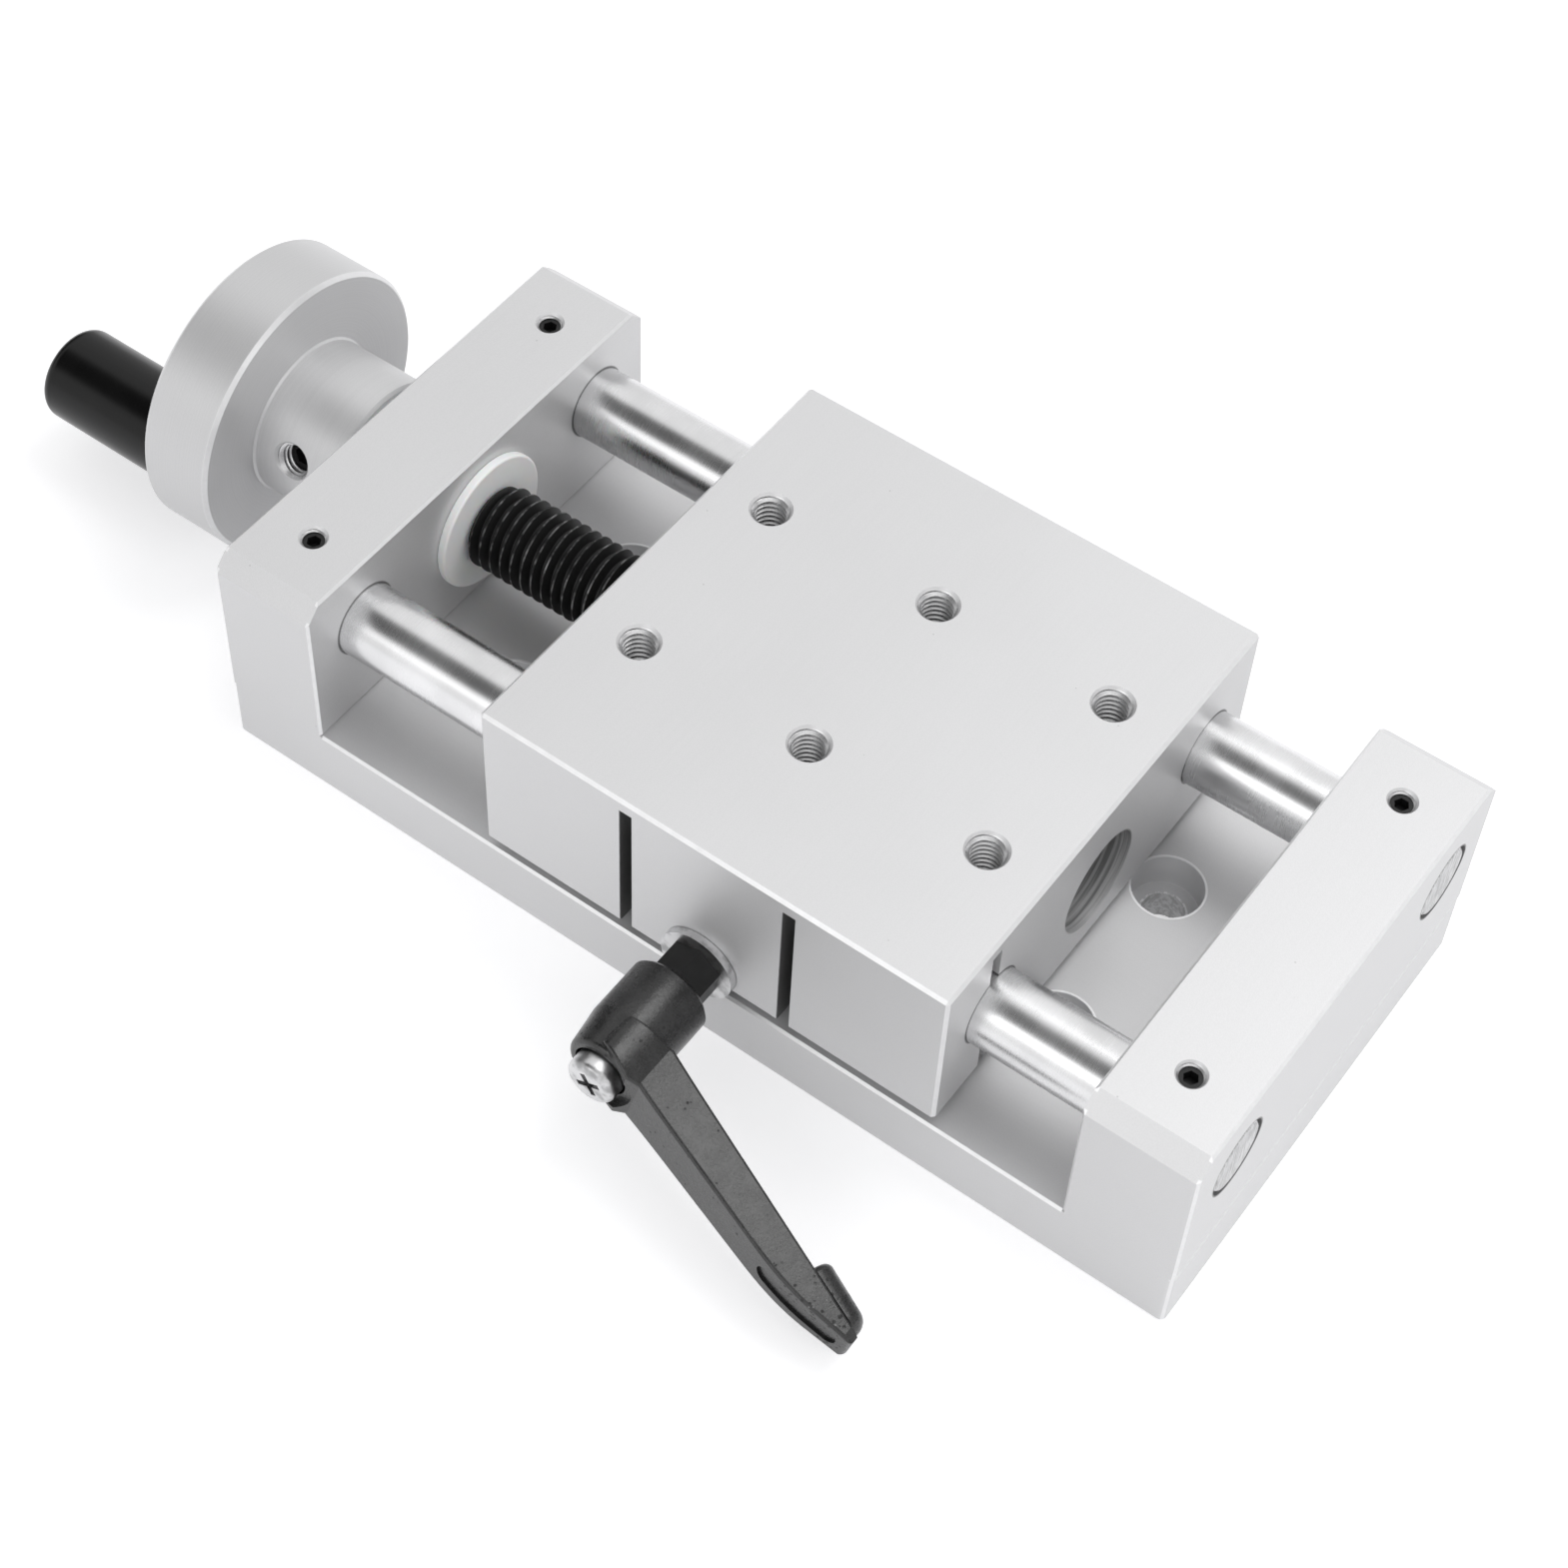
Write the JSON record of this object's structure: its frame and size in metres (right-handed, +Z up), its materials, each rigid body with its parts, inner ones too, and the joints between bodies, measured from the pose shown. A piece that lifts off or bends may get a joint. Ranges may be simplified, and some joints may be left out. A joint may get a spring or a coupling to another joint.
{
  "type": "manual linear slide table",
  "caption": "Handwheel-driven slide table: a carriage on two guide shafts between end blocks, moved by a lead screw and locked by a clamp lever.",
  "frame": {"origin": "centre of the base plate's bottom face", "axes": "+X along the travel, away from the handwheel; -Y towards the clamp lever; +Z up"},
  "size_m": [0.2338, 0.1124, 0.051],
  "materials": {
    "base_aluminium": "satin anodised",
    "block_aluminium": "satin anodised",
    "table_aluminium": "satin anodised",
    "wheel_aluminium": "fine turned",
    "ground_steel": "ground and polished",
    "black_steel": "black oxide",
    "black_screw": "black oxide",
    "zinc_steel": "bright zinc",
    "spring_steel": "drawn wire",
    "nut_brass": "turned",
    "white_nylon": "natural nylon",
    "handle_plastic": "satin gloss",
    "lever_black": "black powder coat"
  },
  "bodies": {
    "base": {"base_plate": "base_aluminium", "drive_end_block": "block_aluminium", "far_end_block": "block_aluminium", "front_guide_shaft": "ground_steel", "rear_guide_shaft": "ground_steel", "drive_shaft_set_screws": "black_steel", "far_shaft_set_screws": "black_steel", "drive_block_screws": "black_steel", "far_block_screws": "black_steel", "inner_journal_bush": "white_nylon", "outer_journal_bush": "white_nylon"},
    "screw": {"lead_screw": "black_screw", "handwheel": "wheel_aluminium", "handwheel_set_screw": "black_steel", "handle_spindle": "zinc_steel"},
    "handle": {"handle_grip": "handle_plastic"},
    "table": {"slide_table": "table_aluminium", "lead_nut": "nut_brass", "nut_set_screw": "black_steel"},
    "clamp": {"clamp_insert": "black_steel", "clamp_washer": "zinc_steel", "lever_screw": "zinc_steel", "lever_spring": "spring_steel"},
    "lever": {"clamp_lever": "lever_black"}
  },
  "joints": [
    {"name": "screw_turn", "type": "hinge", "parent": "base", "child": "screw", "pos_m": [0, 0, 0.0265], "axis": [1, 0, 0], "range_deg": [-3646, 5356]},
    {"name": "table_slide", "type": "slide", "parent": "base", "child": "table", "axis": [1, 0, 0], "range_m": [-0.02975, 0.02025]},
    {"name": "handle_spin", "type": "hinge", "parent": "screw", "child": "handle", "pos_m": [-0.131, -0.00795, 0.01378], "axis": [1, 0, 0], "continuous": true},
    {"name": "clamp_turn", "type": "hinge", "parent": "table", "child": "clamp", "pos_m": [0.0051, -0.05, 0.0174], "axis": [0, -1, 0], "range_deg": [0, 90]},
    {"name": "lever_pull", "type": "slide", "parent": "clamp", "child": "lever", "axis": [0, -1, 0], "range_m": [0, 0.003], "stiffness_N_per_m": 600, "deforming": ["lever_spring"]}
  ],
  "couplings": [
    {"joint": "screw_turn", "follows": "table_slide", "rad_per_m": -3141.6}
  ]
}
